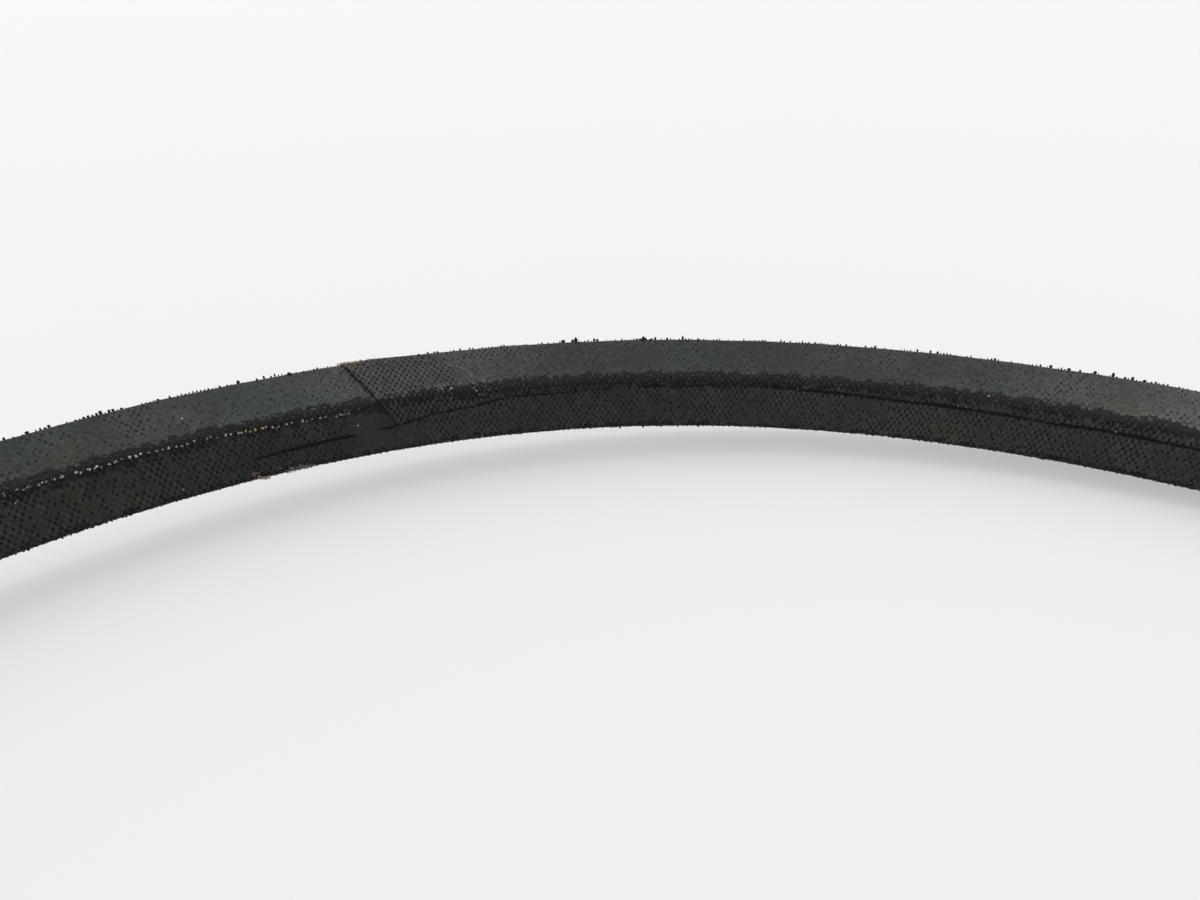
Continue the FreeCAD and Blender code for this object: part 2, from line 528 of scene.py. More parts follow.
@dataclass(frozen=True)
class RubberisedCloth(Finish):
    """Bias-cut plain-weave cloth, filled with rubber and moulded.

    The mesh keeps "weave" (how open the weave is), "edge" (distance to the ply's edge in
    millimetres), "gape" (how far that edge stands open), "worn" (how far it is rubbed),
    "band" (how far inside a coarse band by a corner it is, in millimetres) and "shade" (a factor
    for its lightness: painted light and shade, partly the cloth's own tone).
    """

    belt: Belt
    filled: tuple[float, float, float] = (0.0262, 0.0266, 0.0266)
    teal: tuple[float, float, float] = (0.0218, 0.0262, 0.0256)
    olive: tuple[float, float, float] = (0.032, 0.0305, 0.0245)
    rubbed: tuple[float, float, float] = (0.056, 0.06, 0.061)
    band: tuple[float, float, float] = (0.0108, 0.0114, 0.0114)
    # Painted shade: near black laid in the weave's pits and in the crack by the ply's edge.
    crack_and_pit_shade: tuple[float, float, float] = (0.0015, 0.0016, 0.0016)
    pitch_along: float = 0.71 * MM
    pitch_around: float = 1.18 * MM
    depth: float = 0.07 * MM
    sway: float = 0.9
    grain_size: float = 0.55 * MM
    grit_size: float = 0.42 * MM
    blotch_size: float = 6.0 * MM
    olive_size: float = 11.0 * MM
    teal_size: float = 26.0 * MM

    def weave(self, graph: Graph) -> tuple[bpy.types.NodeSocket, ...]:
        """Lays the weave across the belt, its two sets of yarns 60 degrees either side of it.

        Args:
            graph: Material to add to.

        Returns:
            The crown of each yarn (0 to 1), the hole between yarns (0 to 1), the hole's own
            chance value and the crossing's own chance value.
        """
        along, around = graph.cloth()
        cells_along = round(self.belt.length / self.pitch_along) / (self.belt.length / MM)
        cells_around = round(self.belt.girth / self.pitch_around) / (self.belt.girth / MM)
        run = graph.math("MULTIPLY", along, cells_along)
        turn = graph.math("MULTIPLY", around, cells_around)
        sway = graph.math("MULTIPLY", graph.math("SUBTRACT", graph.noise(1.3 * MM, 2.0), 0.5), self.sway)
        pull = graph.math("MULTIPLY", graph.math("SUBTRACT", graph.noise(1.9 * MM, 2.0), 0.5), self.sway)
        warp = graph.math("ADD", graph.math("ADD", run, turn), sway)
        weft = graph.math("ADD", graph.math("SUBTRACT", run, turn), pull)
        cells = [graph.math("FLOOR", value) for value in (warp, weft)]
        corner = graph.dice(*[graph.math("ROUND", value) for value in (warp, weft)])
        parity = graph.math("PINGPONG", graph.math("ADD", *cells), 1.0)
        waves = []
        for value in (warp, weft):
            waves.append(graph.math("ABSOLUTE", graph.math("SINE", graph.math("MULTIPLY", value, math.pi))))
        floats = []
        for first, second in (waves, waves[::-1]):
            long = graph.math("POWER", first, 0.45)
            short = graph.math("POWER", second, 1.5)
            floats.append(graph.math("MULTIPLY", long, short))
        chosen = graph.math("MULTIPLY", graph.math("SUBTRACT", floats[1], floats[0]), parity)
        crown = graph.math("ADD", floats[0], chosen)
        closed = graph.math("ADD", graph.math("MAXIMUM", *waves), graph.math("MULTIPLY", corner, 0.2))
        return crown, graph.ease(closed, 0.98, 0.52), corner, graph.dice(*cells)

    def colour(self, graph: Graph, fine: object, blotch: object) -> bpy.types.NodeSocket:
        """Mottles the moulded cloth between its grey, its teal and its olive.

        Args:
            graph: Material to add to.
            fine: Fine noise.
            blotch: Noise of blotches.

        Returns:
            The cloth's colour without its holes.
        """
        teal = graph.ease(graph.noise(self.teal_size, 2.0), 0.42, 0.6)
        olive = graph.ease(graph.noise(self.olive_size, 3.0), 0.56, 0.7, 0.0, 0.8)
        base = graph.mix(olive, graph.mix(teal, self.filled, self.teal), self.olive)
        grain = graph.ease(fine, 0.3, 0.7, 0.55, 1.45)
        # The shade attribute paints light and shade into the colour (flank lighter, narrow face darker),
        # mixed with the cloth's own tone.
        blotch_and_painted_light = graph.math("MULTIPLY", graph.ease(blotch, 0.3, 0.7, 0.84, 1.16), graph.attribute("shade"))
        return graph.tone(base, graph.math("MULTIPLY", grain, blotch_and_painted_light))

    def material(self) -> bpy.types.Material:
        """Makes the material.

        Returns:
            The material, whose name is the finish's own.
        """
        graph = Graph(self.name, self.slot.value)
        crown, hole, corner, chance = self.weave(graph)
        gape = graph.attribute("gape")
        fine = graph.noise(self.grain_size, 4.0, 0.8)
        grit = graph.noise(self.grit_size, 2.0, 0.6)
        blotch = graph.noise(self.blotch_size, 3.0)
        shift = graph.math("MULTIPLY", graph.math("SUBTRACT", blotch, 0.5), 1.3)
        openness = graph.math("ADD", graph.attribute("weave"), shift)
        shown = graph.ease(graph.math("ADD", openness, corner), 0.95, 1.15)
        strength = graph.ease(openness, 0.2, 0.8, 0.62, 1.0)
        pits = graph.math("MULTIPLY", graph.math("MULTIPLY", hole, shown), strength)
        ragged = graph.math("MULTIPLY", graph.math("SUBTRACT", chance, 0.5), 1.0)
        band = graph.ease(graph.math("ADD", graph.attribute("band"), ragged), -0.1, 0.1)
        tooth = graph.math("MULTIPLY", graph.ease(grit, 0.42, 0.6), graph.ease(crown, 0.2, 0.8))
        torn = graph.math("MULTIPLY", graph.math("SUBTRACT", grit, 0.5), 1.1)
        near = graph.math("ADD", graph.math("ABSOLUTE", graph.attribute("edge")), torn)
        wide = graph.math("MAXIMUM", gape, 0.05)
        crack = graph.ease(near, graph.math("MULTIPLY", wide, 0.46), graph.math("MULTIPLY", wide, 0.18))
        crack = graph.math("MULTIPLY", crack, graph.ease(gape, 0.02, 0.2))
        # Painted highlight on the yarns' crowns and painted shade between them where the weave is open, on
        # top of the bump.
        swell = graph.ease(crown, 0.1, 0.9, -0.12, 0.14)
        raised = graph.math("MULTIPLY", graph.ease(openness, 0.1, 0.8), swell)
        base = graph.tone(self.colour(graph, fine, blotch), graph.math("ADD", raised, 1.0))
        rub = graph.math("MULTIPLY", graph.attribute("worn"), graph.ease(fine, 0.35, 0.7))
        base = graph.mix(graph.math("MULTIPLY", rub, graph.ease(crown, 0.3, 0.9)), base, self.rubbed)
        coarse = graph.tone(self.band, graph.ease(tooth, 0.0, 1.0, 0.35, 2.6))
        base = graph.mix(graph.math("MULTIPLY", band, 0.9), base, coarse)
        # Painted shade in the pits and the crack, where shade falls in the recesses.
        painted_shade = graph.math("MAXIMUM", graph.math("MULTIPLY", pits, 0.92), crack)
        graph.set(Base_Color=graph.mix(painted_shade, base, self.crack_and_pit_shade))
        height = graph.math("MULTIPLY", crown, graph.ease(openness, 0.0, 0.9, 0.15, 1.0))
        teeth = graph.math("MULTIPLY", graph.math("MULTIPLY", tooth, band), 1.6)
        grain = graph.math("MULTIPLY", fine, 0.4)
        sunk = graph.math("MULTIPLY", graph.math("MAXIMUM", pits, crack), 1.5)
        height = graph.math("ADD", graph.math("ADD", height, teeth), grain)
        height = graph.math("SUBTRACT", height, sunk)
        graph.bump(height, self.depth)
        graph.set(Roughness=graph.ease(fine, 0.2, 0.8, 0.62, 0.85), Specular_IOR_Level=0.14)
        return graph.material


@dataclass(frozen=True)
class Yarn(Finish):
    """Loose cotton fibre.

    The mesh keeps "tint" (0 for blackened and 1 for bare) and "warm" (0 for pale, 1 for tan).
    """

    black: tuple[float, float, float] = (0.0066, 0.0071, 0.0071)
    pale: tuple[float, float, float] = (0.46, 0.44, 0.38)
    tan: tuple[float, float, float] = (0.42, 0.27, 0.12)
    rough: float = 0.85

    def material(self) -> bpy.types.Material:
        """Makes the material.

        Returns:
            The material, whose name is the finish's own.
        """
        graph = Graph(self.name, self.slot.value)
        fine = graph.noise(0.12 * MM, 3.0, 0.7)
        bare = graph.mix(graph.attribute("warm"), self.pale, self.tan)
        colour = graph.mix(graph.attribute("tint"), self.black, bare)
        shade = graph.ease(fine, 0.35, 0.7, 0.0, 0.45)
        graph.set(Base_Color=graph.mix(shade, colour, self.black))
        graph.bump(fine, 0.05 * MM)
        graph.set(Roughness=self.rough, Specular_IOR_Level=0.2, Sheen_Weight=0.1)
        return graph.material


@dataclass(frozen=True)
class Compound(Finish):
    """Rubber seen on a layer inside the belt."""

    colour: tuple[float, float, float]
    fleck: tuple[float, float, float]
    fleck_size: float = 0.6 * MM
    rough: tuple[float, float] = (0.5, 0.8)

    def material(self) -> bpy.types.Material:
        """Makes the material.

        Returns:
            The material, whose name is the finish's own.
        """
        graph = Graph(self.name, self.slot.value)
        fine = graph.noise(self.fleck_size, 4.0, 0.65)
        broad = graph.noise(12.0 * MM, 2.0)
        colour = graph.mix(graph.ease(fine, 0.55, 0.75), self.colour, self.fleck)
        graph.set(Base_Color=graph.mix(graph.ease(broad, 0.3, 0.8, 0.0, 0.35), colour, self.fleck))
        graph.bump(fine, 0.04 * MM)
        graph.set(Roughness=graph.ease(fine, 0.3, 0.7, *self.rough), Specular_IOR_Level=0.4)
        return graph.material


@dataclass(frozen=True)
class TwistedCord(Finish):
    """Dipped polyester cord, its strands twisted round it as it winds along the loop."""

    belt: Belt
    strand: tuple[float, float, float] = (0.56, 0.45, 0.29)
    groove_shade: tuple[float, float, float] = (0.16, 0.11, 0.06)
    lay: float = 2.4 * MM

    def material(self) -> bpy.types.Material:
        """Makes the material.

        Returns:
            The material, whose name is the finish's own.
        """
        graph = Graph(self.name, self.slot.value)
        split = graph.tree.nodes.new("ShaderNodeSeparateXYZ")
        graph.put(split.inputs[0], graph.place())
        angle = graph.math("ARCTAN2", split.outputs[1], split.outputs[0])
        turns = round(self.belt.length / self.lay)
        wave = graph.math("ADD", graph.math("MULTIPLY", angle, float(turns)),
                          graph.math("MULTIPLY", split.outputs[2], math.pi / (0.45 * MM)))
        ridge = graph.math("ABSOLUTE", graph.math("SINE", wave))
        fine = graph.noise(0.15 * MM, 3.0, 0.7)
        # Painted shade in the grooves between the strands, with lighter strands, on top of the bump.
        colour = graph.mix(graph.ease(ridge, 0.1, 0.6), self.groove_shade, self.strand)
        graph.set(Base_Color=graph.mix(graph.ease(fine, 0.5, 0.8, 0.0, 0.5), colour, self.groove_shade))
        graph.bump(graph.math("ADD", ridge, graph.math("MULTIPLY", fine, 0.3)), 0.08 * MM)
        graph.set(Roughness=0.6, Specular_IOR_Level=0.4, Sheen_Weight=0.1)
        return graph.material


@dataclass(frozen=True)
class TableTop:
    """Plain pale surface that the belt lies on, lit a little from within like a light table."""

    colour: tuple[float, float, float] = (0.308, 0.307, 0.303)
    glow: float = 0.43

    def material(self) -> bpy.types.Material:
        """Makes the material.

        Returns:
            The table's material.
        """
        graph = Graph("table_top")
        haze = graph.noise(60.0 * MM, 2.0)
        dim = tuple(channel * 0.985 for channel in self.colour)
        graph.set(Base_Color=graph.mix(haze, dim, self.colour), Roughness=0.7, Specular_IOR_Level=0.25)
        graph.set(Emission_Color=(1.0, 0.995, 0.985, 1.0), Emission_Strength=self.glow)
        return graph.material


class Piece:
    """A finished mesh object that rides on the belt's one body."""

    def __init__(self, name: str, mesh: bmesh.types.BMesh, finish: Finish) -> None:
        """Turns a bmesh into an object and dresses it.

        Args:
            name: Name of the piece.
            mesh: Its shape, which is freed.
            finish: What it is finished in.
        """
        for face in mesh.faces:
            face.smooth = True
        open_edges = sum(1 for edge in mesh.edges if edge.is_boundary)
        data = bpy.data.meshes.new(name)
        mesh.to_mesh(data)
        mesh.free()
        self.object = bpy.data.objects.new(name, data)
        bpy.context.scene.collection.objects.link(self.object)
        data.materials.append(finish.material())
        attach(self.object, BODY)
        log.info("%s: %d faces, %d open edges", name, len(data.polygons), open_edges)


@dataclass
class Cover:
    """The outer ply: a closed skin with its weave, its lapped edge and a back to it.

    The shades are factors for the cloth's colour, each at an angle in degrees: painted light and shade,
    the flank lighter and the narrow face darker, mixed with slow changes in the cloth's own tone.
    """

    belt: Belt
    splice: Splice
    steps: int = 880
    counts: tuple[int, ...] = (8, 4, 14, 6, 28, 6, 14, 4, 8)
    step_height: float = 0.13 * MM
    step_reach: float = 1.6 * MM
    crack: float = 0.12 * MM
    crack_width: float = 0.22 * MM
    swell: float = 0.02 * MM
    ply: float = 0.45 * MM
    margin: float = 0.05 * MM
    flank_weave: float = 0.36
    narrow_weave: float = 0.66
    wide_weave: float = 0.5
    rim_reach: float = 1.6
    tail_fades: tuple[float, float] = (9.0 * MM, 15.0 * MM)
    scuffed_at: float = 10.5 * MM
    no_edge: float = 9.0
    names: tuple[str, ...] = ("weave", "edge", "gape", "worn", "band", "shade")
    # Painted light: the upper flank made lighter where light falls on it, mixed with slow changes in the
    # cloth's own tone.
    flank_painted_light_and_wear: tuple[tuple[float, float], ...] = (
        (0.0, 1.6), (15.0, 2.15), (22.0, 1.56), (30.0, 1.24), (40.0, 1.06), (52.0, 1.1), (60.0, 1.5),
        (66.0, 1.42), (72.0, 1.34), (80.0, 1.08), (100.0, 1.2), (200.0, 1.35), (300.0, 1.15), (360.0, 1.5))
    # Painted shade: the narrow face made darker than the flank, as it faces away from the light, mixed with
    # the cloth's own tone.
    narrow_painted_shade_and_wear: tuple[tuple[float, float], ...] = (
        (0.0, 0.95), (30.0, 0.95), (40.0, 0.88), (51.0, 0.76), (60.0, 0.78), (72.0, 0.68), (80.0, 0.73),
        (100.0, 0.85), (240.0, 0.95), (360.0, 0.95))

    def rounds(self) -> list[float]:
        """Distances round the outline at which the skin has points.

        Returns:
            The distances, from 0 to the girth.
        """
        marks = [0.0]
        for length, count in zip(self.belt.lengths(), self.counts):
            start = marks[-1]
            marks += [start + length * (i + 1) / count for i in range(count)]
        return marks

    def shade(self, angle: float, out: float) -> float:
        """Painted light and shade of the cloth, partly its own tone: the narrow face darker than the flank,
        changing slowly along the belt.

        Args:
            angle: Angle round the loop.
            out: Distance out from the narrow face.

        Returns:
            Factor for its colour.
        """
        degrees = math.degrees(angle) % 360.0
        found = []
        for marks in (self.narrow_painted_shade_and_wear, self.flank_painted_light_and_wear):
            for (near, low), (far, high) in zip(marks, marks[1:]):
                if near <= degrees < far:
                    found.append(low + (high - low) * smooth(near, far, degrees))
        return found[0] + (found[1] - found[0]) * smooth(0.0, 0.5 * MM, out)

    def lapped(self, past: float) -> float:
        """How far the tail's open weave shows, at a distance past the tail's end."""
        return smooth(-0.5 * MM, 0.0, past) * (1.0 - smooth(*self.tail_fades, past))

    def rim(self, around: float) -> float:
        """How near an outer corner is, from 0 to 1.

        Args:
            around: Distance round the outline.

        Returns:
            1 at the middle of an outer corner, 0 away from both.
        """
        reach = self.rim_reach * self.belt.lengths()[Stretch.RIDGE_UPPER.value]
        corners = (self.belt.middle(Stretch.OUTER_UPPER), self.belt.middle(Stretch.OUTER_LOWER))
        return max(bell(corner, reach, around) for corner in corners)

    def openness(self, angle: float, around: float, past: float) -> float:
        """How open the weave is where the tail's open weave doesn't show.

        Args:
            angle: Angle round the loop.
            around: Distance round the outline.
            past: Distance past the tail's end.

        Returns:
            From 0, where the mould has filled it, to 1.
        """
        spot = self.belt.spot(around)
        if spot.out > self.belt.height - self.margin:
            return self.wide_weave
        if spot.out < self.margin:
            bald_to = 5.0 * MM if spot.up < self.splice.edge_up(angle) else 0.0
            bald = smooth(-6.5 * MM, -4.5 * MM, past) * (1.0 - smooth(-1.0 * MM, bald_to, past))
            return self.narrow_weave * (1.0 - 0.8 * bald)
        plain = smooth(-15.0 * MM, -9.0 * MM, past) * (1.0 - smooth(-0.5 * MM, 0.0, past))
        return self.flank_weave + 0.12 * self.rim(around) - 0.14 * plain

    def band(self, angle: float, around: float, past: float) -> float:
        """How far inside a coarse band by an inner corner a place is.

        Args:
            angle: Angle round the loop.
            around: Distance round the outline.
            past: Distance past the tail's end.

        Returns:
            The distance in millimetres, below 0 outside both bands.
        """
        upper, lower = self.belt.middle(Stretch.RIDGE_UPPER), self.belt.middle(Stretch.RIDGE_LOWER)
        wider = smooth(math.radians(34.0), math.radians(44.0), angle)
        above = upper - (1.05 if past < 0.0 else 1.2) * MM
        below = upper + (0.55 + 0.4 * wider) * MM
        in_upper = min(around - above, below - around)
        in_lower = min(around - lower + 0.45 * MM, lower + 1.2 * MM - around)
        return max(in_upper, in_lower) / MM

    def wear(self, angle: float, around: float, chance: random.Random) -> dict[str, float]:
        """Numbers that the cloth's finish reads at a place.

        Args:
            angle: Angle round the loop.
            around: Distance round the outline.
            chance: Source of small differences.

        Returns:
            A value for each of the names.
        """
        spot = self.belt.spot(around)
        past = self.splice.past(angle, spot.out, spot.up)
        over_edge = (spot.up - self.splice.edge_up(angle)) / MM
        narrow = spot.out < self.margin
        lapped = 0.0 if narrow and over_edge < 0.0 else self.lapped(past)
        ridge = self.belt.middle(Stretch.RIDGE_UPPER)
        scuffed = bell(self.scuffed_at, 6.0 * MM, past) * bell(ridge, 1.3 * MM, around)
        worn = 0.12 * self.rim(around) + 0.5 * scuffed + 0.35 * lapped + chance.uniform(0.0, 0.05)
        covered = 0.5 * lapped * (1.0 - smooth(5.0 * MM, 9.0 * MM, past))
        return {
            "weave": max(self.openness(angle, around, past), 0.95 * lapped),
            "edge": over_edge if narrow else self.no_edge,
            "gape": self.splice.gape(angle),
            "worn": worn,
            "band": self.band(angle, around, past) - covered,
            # Painted light and shade along the belt, partly the cloth's own tone.
            "shade": self.shade(angle, spot.out),
        }

    def relief(self, angle: float, around: float) -> float:
        """How far the skin stands proud of the moulded outline.

        Args:
            angle: Angle round the loop.
            around: Distance round the outline.

        Returns:
            The height, below 0 in the crack beside the ply's edge.
        """
        belt = self.belt
        spot = belt.spot(around)
        turn = 2.0 * math.pi * around / belt.girth
        wave = math.sin(37.0 * angle + 3.0 * math.sin(2.0 * turn)) + math.sin(91.0 * angle - 6.0 * turn)
        proud = self.swell * wave
        if spot.out < self.margin:
            over = spot.up - self.splice.edge_up(angle)
            gape = self.splice.gape(angle)
            step = self.step_height * gape * (smooth(-0.1 * MM, 0.12 * MM, over) - 1.0)
            proud += step * bell(0.0, self.step_reach, min(over, 0.0))
            proud -= self.crack * gape * bell(0.0, self.crack_width, over)
        return proud

    def sheet(self, marks: list[float], steps: int, proud: Callable[[float, float], float],
              lining: bool) -> bmesh.types.BMesh:
        """A grid bent round the section and round the loop, closed both ways.

        Args:
            marks: Distances round the outline of the rows.
            steps: Columns along the loop.
            proud: Distance off the outline at an angle and a distance round.
            lining: Whether the sheet faces inwards.

        Returns:
            The closed sheet, with its cloth map.
        """
        mesh = bmesh.new()
        bmesh.ops.create_grid(mesh, x_segments=steps, y_segments=len(marks) - 1, size=0.5)
        cloth = mesh.loops.layers.uv.new("Cloth")
        layers = {name: mesh.verts.layers.float.new(name) for name in self.names}
        chance = random.Random(11)
        flat = {}
        for vertex in mesh.verts:
            column = round((vertex.co.x + 0.5) * steps)
            row = round((vertex.co.y + 0.5) * (len(marks) - 1))
            flat[vertex] = (2.0 * math.pi * column / steps, marks[row])
        for face in mesh.faces:
            for loop in face.loops:
                angle, around = flat[loop.vert]
                loop[cloth].uv = (angle * self.belt.inner_radius / MM, around / MM)
        for vertex, (angle, around) in flat.items():
            vertex.co = self.belt.on_cover(angle, around, proud(angle, around))
            for name, value in self.wear(angle, around, chance).items():
                vertex[layers[name]] = value
        bmesh.ops.remove_doubles(mesh, verts=mesh.verts[:], dist=0.002 * MM)
        bmesh.ops.recalc_face_normals(mesh, faces=mesh.faces[:])
        if lining:
            bmesh.ops.reverse_faces(mesh, faces=mesh.faces[:])
        return mesh

    def build(self) -> Piece:
        """Builds the skin, with a plainer lining at the ply's back, and dresses it.

        Returns:
            The piece, which stands for the outer ply.
        """
        mesh = self.sheet(self.rounds(), self.steps, self.relief, False)
        coarse = self.rounds()[::4]
        if coarse[-1] < self.rounds()[-1]:
            coarse.append(self.rounds()[-1])
        lining = self.sheet(coarse, self.steps // 4, lambda angle, around: -self.ply, True)
        carried = bpy.data.meshes.new("lining")
        lining.to_mesh(carried)
        lining.free()
        mesh.from_mesh(carried)
        bpy.data.meshes.remove(carried)
        finish = RubberisedCloth("cover_cloth", Slot.CLOTH, self.belt)
        piece = Piece("cover_cloth", mesh, finish)
        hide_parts("outer_cover_ply")
        return piece


@dataclass
class Lap:
    """The outer ply's tail: a sleeve of cloth with a cut, slanting end that thins away."""

    cover: Cover
    thickness: float = 0.2 * MM
    wall: float = 0.18 * MM
    pressed: float = 0.26 * MM
    columns: int = 60
    end_shadow_line: float = 0.4

    def sunk(self, angle: float, around: float) -> float:
        """How far the tail is pressed into the cover, which it is under the ply's edge.

        Args:
            angle: Angle round the loop.
            around: Distance round the outline.

        Returns:
            From 0, where it lies on the cover, to 1.
        """
        spot = self.cover.belt.spot(around)
        over = spot.up - self.cover.splice.edge_up(angle)
        flank = smooth(0.3 * MM, 1.5 * MM, spot.out)
        return (1.0 - smooth(-0.25 * MM, 0.05 * MM, over)) * (1.0 - flank)

    def build(self) -> Piece:
        """Builds the sleeve as a bent grid, gives it a thickness, and dresses it.

        Returns:
            The piece, which stands for the splice's lap.
        """
        belt, splice = self.cover.belt, self.cover.splice
        marks = self.cover.rounds()
        mesh = bmesh.new()
        bmesh.ops.create_grid(mesh, x_segments=self.columns, y_segments=len(marks) - 1, size=0.5)
        cloth = mesh.loops.layers.uv.new("Cloth")
        layers = {name: mesh.verts.layers.float.new(name) for name in self.cover.names}
        chance = random.Random(5)
        flat = {}
        for vertex in mesh.verts:
            share = vertex.co.x + 0.5
            row = round((vertex.co.y + 0.5) * (len(marks) - 1))
            spot = belt.spot(marks[row])
            ragged = 0.05 * MM * math.sin(marks[row] / (0.31 * MM)) * (1.0 - share)
            run = splice.length * share + ragged - splice.slant_up * spot.up - splice.slant_out * spot.out
            flat[vertex] = (splice.angle - run / belt.inner_radius, marks[row], share)
        for face in mesh.faces:
            for loop in face.loops:
                angle, around, _ = flat[loop.vert]
                loop[cloth].uv = (angle * belt.inner_radius / MM + 0.4, around / MM + 0.3)
        for vertex, (angle, around, share) in flat.items():
            thinned = 1.0 - 0.85 * smooth(0.3, 1.0, share)
            proud = self.thickness * thinned + self.cover.relief(angle, around)
            proud -= self.pressed * self.sunk(angle, around)
            vertex.co = belt.on_cover(angle, around, proud)
            wear = self.cover.wear(angle, around, chance)
            to_end = share * splice.length / MM
            # Painted shadow line along the tail's cut end, where the step casts its shadow: the crack's
            # painted shade is laid there.
            if to_end < self.end_shadow_line:
                wear.update(edge=to_end, gape=self.end_shadow_line)
            for name, value in wear.items():
                vertex[layers[name]] = value
        bmesh.ops.remove_doubles(mesh, verts=mesh.verts[:], dist=0.002 * MM)
        bmesh.ops.recalc_face_normals(mesh, faces=mesh.faces[:])
        bmesh.ops.solidify(mesh, geom=mesh.faces[:], thickness=self.wall)
        finish = RubberisedCloth("lap_cloth", Slot.CLOTH, belt)
        piece = Piece("cover_lap", mesh, finish)
        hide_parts("cover_splice_lap")
        return piece


@dataclass(frozen=True)
class Shade:
    """Colour of a bit of fibre: how bare it is, and how warm where it is bare."""

    tint: float = 0.0
    warm: float = 0.0


@dataclass
class Fluff:
    """Small things on the cover, gathered in one mesh that keeps each one's shade."""

    belt: Belt
    name: str
    seed: int
    full: int = 2400
    stored: list[bpy.types.Mesh] = field(default_factory=list)
    chance: random.Random = field(init=False)
    mesh: bmesh.types.BMesh = field(init=False)
    tint: bmesh.types.BMLayerItem = field(init=False)
    warm: bmesh.types.BMLayerItem = field(init=False)

    def __post_init__(self) -> None:
        """Starts the source of chance and the first batch."""
        self.chance = random.Random(self.seed)
        self.start()

    def start(self) -> None:
        """Starts a batch, with the shade's layers."""
        self.mesh = bmesh.new()
        self.tint = self.mesh.verts.layers.float.new("tint")
        self.warm = self.mesh.verts.layers.float.new("warm")

    def store(self) -> None:
        """Puts the batch aside; small batches keep the operators quick."""
        bmesh.ops.recalc_face_normals(self.mesh, faces=self.mesh.faces[:])
        self.stored.append(bpy.data.meshes.new(self.name))
        self.mesh.to_mesh(self.stored[-1])
        self.mesh.free()
        self.start()

    def paint(self, vertex: bmesh.types.BMVert, shade: Shade) -> None:
        """Keeps a shade on a vertex."""
        vertex[self.tint] = shade.tint
        vertex[self.warm] = shade.warm

    def bead(self, angle: float, around: float, size: tuple[float, float, float], turn: float,
             proud: float, shade: Shade) -> None:
        """Adds a small rounded grain lying on the cover.

        Args:
            angle: Angle round the loop.
            around: Distance round the outline.
            size: Half lengths along its run, across it and out of the cover.
            turn: Turn of its run from the belt's own direction.
            proud: Height of its middle over the cover.
            shade: Its colour.
        """
        if len(self.mesh.verts) > self.full:
            self.store()
        frame_here = self.belt.facing(angle, around).to_4x4()
        spin = Matrix.Rotation(turn, 4, "Z")
        scale = Matrix.Diagonal((*size, 1.0))
        shift = Matrix.Translation(self.belt.on_cover(angle, around, proud))
        made = bmesh.ops.create_icosphere(self.mesh, subdivisions=1, radius=1.0,
                                          matrix=shift @ frame_here @ spin @ scale)
        for vertex in made["verts"]:
            self.paint(vertex, shade)
            vertex.co += Vector([self.chance.uniform(-0.2, 0.2) * min(size) for _ in range(3)])

    def thread(self, points: list[Vector], radius: float, shade: Shade, sides: int = 5) -> None:
        """Adds a thread that tapers to both ends along a run of points.

        Args:
            points: Places that it passes.
            radius: Its radius at the middle.
            shade: Its colour.
            sides: Flats round it.
        """
        if len(self.mesh.verts) > self.full:
            self.store()
        count = len(points)
        made = bmesh.ops.create_circle(self.mesh, cap_ends=True, segments=sides, radius=1.0)
        ring = list(made["verts"])
        front = ring[0].link_faces[0]
        offsets = [vertex.co.copy() for vertex in ring]
        for index, point in enumerate(points):
            if index:
                grown = bmesh.ops.extrude_face_region(self.mesh, geom=[front], use_keep_orig=index == 1)
                ring = [item for item in grown["geom"] if isinstance(item, bmesh.types.BMVert)]
                front = next(item for item in grown["geom"] if isinstance(item, bmesh.types.BMFace))
            ahead = points[min(index + 1, count - 1)] - points[max(index - 1, 0)]
            turn = ahead.to_track_quat("Z", "Y")
            thick = radius * (0.35 + 0.65 * math.sin(math.pi * index / (count - 1)))
            for vertex, offset in zip(ring, offsets):
                vertex.co = point + turn @ (offset * thick)
                self.paint(vertex, shade)

    def wisp(self, angle: float, around: float, length: float, shade: Shade,
             radius: float = 0.02, heading: float | None = None) -> None:
        """Adds a short curled hair.

        Args:
            angle: Angle round the loop where it starts.
            around: Distance round the outline where it starts.
            length: Its length.
            shade: Its colour.
            radius: Its radius in millimetres.
            heading: Way it sets off, from the belt's direction; any way if not given.
        """
        chance = self.chance
        heading = chance.uniform(0.0, 2.0 * math.pi) if heading is None else heading
        curl = chance.gauss(0.0, 1.1)
        height = chance.uniform(0.08, 0.35)
        points = []
        run, turn = angle, around
        for index in range(8):
            proud = 0.02 + height * math.sin(math.pi * index / 9.0)
            points.append(self.belt.on_cover(run, turn, proud * MM))
            run += math.cos(heading) * length / 7.0 / self.belt.inner_radius
            turn += math.sin(heading) * length / 7.0
            heading += (curl + chance.gauss(0.0, 0.8)) * 0.4
        self.thread(points, radius * MM, shade, 4)

    def finish(self) -> Piece:
        """Gathers the batches and dresses the mesh.

        Returns:
            The piece.
        """
        self.store()
        for part in self.stored:
            self.mesh.from_mesh(part)
            bpy.data.meshes.remove(part)
        return Piece(self.name, self.mesh, Yarn(self.name + "_yarn", Slot.CLOTH))


